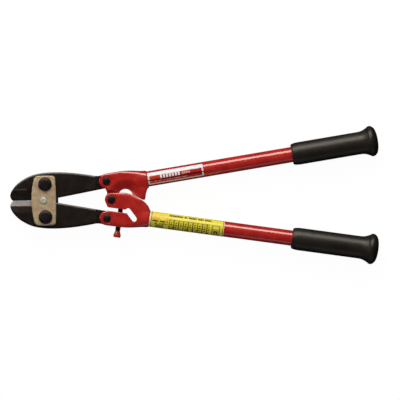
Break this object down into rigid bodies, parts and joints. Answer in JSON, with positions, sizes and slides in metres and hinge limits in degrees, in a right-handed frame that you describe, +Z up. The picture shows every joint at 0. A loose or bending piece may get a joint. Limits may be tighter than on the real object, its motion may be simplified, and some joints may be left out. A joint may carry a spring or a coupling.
{
  "type": "bolt cutters",
  "caption": "Centre-cut bolt cutter: forged black jaws between plated straps, compound linkage, red tube handles with flared rubber grips, a side screw for jaw adjustment",
  "frame": {"origin": "under the middle of the tool, on the surface that it lies on", "axes": "+X runs from the jaws to the grips along the tool's length, +Y is towards the upper handle, +Z is up, square to the plane that the linkage moves in"},
  "size_m": [0.4578, 0.1714, 0.0382],
  "materials": {
    "red_paint": "glossy red enamel",
    "black_forging": "black oxide forging, satin, with ground cutting edges",
    "black_hardware": "black oxide, satin",
    "zinc_plate": "yellow-passivated zinc plate, slightly iridescent",
    "bright_steel": "bright zinc",
    "grip_rubber": "soft black moulded grip, satin",
    "red_label": "printed film, red with white border",
    "yellow_label": "printed film, yellow with dark marks"
  },
  "bodies": {
    "head": {"front_strap": "zinc_plate", "rear_strap": "black_hardware", "centre_pin": "bright_steel", "upper_jaw_bolt": "black_hardware", "upper_jaw_nut": "black_hardware", "lower_jaw_bolt": "black_hardware", "lower_jaw_nut": "black_hardware"},
    "upper_jaw": {"upper_jaw": "black_forging"},
    "lower_jaw": {"lower_jaw": "black_forging"},
    "upper_handle": {"upper_fitting": "red_paint", "upper_link_bolt": "black_hardware", "upper_link_nut": "black_hardware", "upper_tube": "red_paint", "upper_grip": "grip_rubber", "upper_label": "red_label"},
    "lower_handle": {"lower_fitting": "red_paint", "lower_link_bolt": "black_hardware", "lower_link_nut": "black_hardware", "lower_tube": "red_paint", "lower_grip": "grip_rubber", "lower_label": "yellow_label", "toggle_bolt": "black_hardware", "toggle_nut": "black_hardware"},
    "adjusting_screw": {"adjusting_screw": "red_paint"}
  },
  "joints": [
    {"name": "upper_handle_swing", "type": "hinge", "parent": "upper_jaw", "child": "upper_handle", "pos_m": [-0.1092, 0.02281, 0.0191], "axis": [0, 0, 1], "range_deg": [0, 52.36]},
    {"name": "lower_handle_swing", "type": "hinge", "parent": "lower_jaw", "child": "lower_handle", "pos_m": [-0.1092, -0.02305, 0.0191], "axis": [0, 0, 1], "range_deg": [-52.36, 0]},
    {"name": "upper_jaw_swing", "type": "hinge", "parent": "head", "child": "upper_jaw", "pos_m": [-0.1852, 0.02018, 0.0191], "axis": [0, 0, 1], "range_deg": [-8, 0]},
    {"name": "lower_jaw_swing", "type": "hinge", "parent": "head", "child": "lower_jaw", "pos_m": [-0.1852, -0.02042, 0.0191], "axis": [0, 0, 1], "range_deg": [0, 8]},
    {"name": "adjusting_screw_turn", "type": "hinge", "parent": "lower_handle", "child": "adjusting_screw", "pos_m": [-0.09427, -0.02532, 0.0191], "axis": [-0.1506, -0.9886, 0], "continuous": true}
  ],
  "couplings": [
    {"joint": "lower_handle_swing", "follows": "upper_handle_swing", "ratio": -1},
    {"joint": "upper_jaw_swing", "follows": "upper_handle_swing", "ratio": -0.15278},
    {"joint": "lower_jaw_swing", "follows": "upper_handle_swing", "ratio": 0.15278}
  ]
}
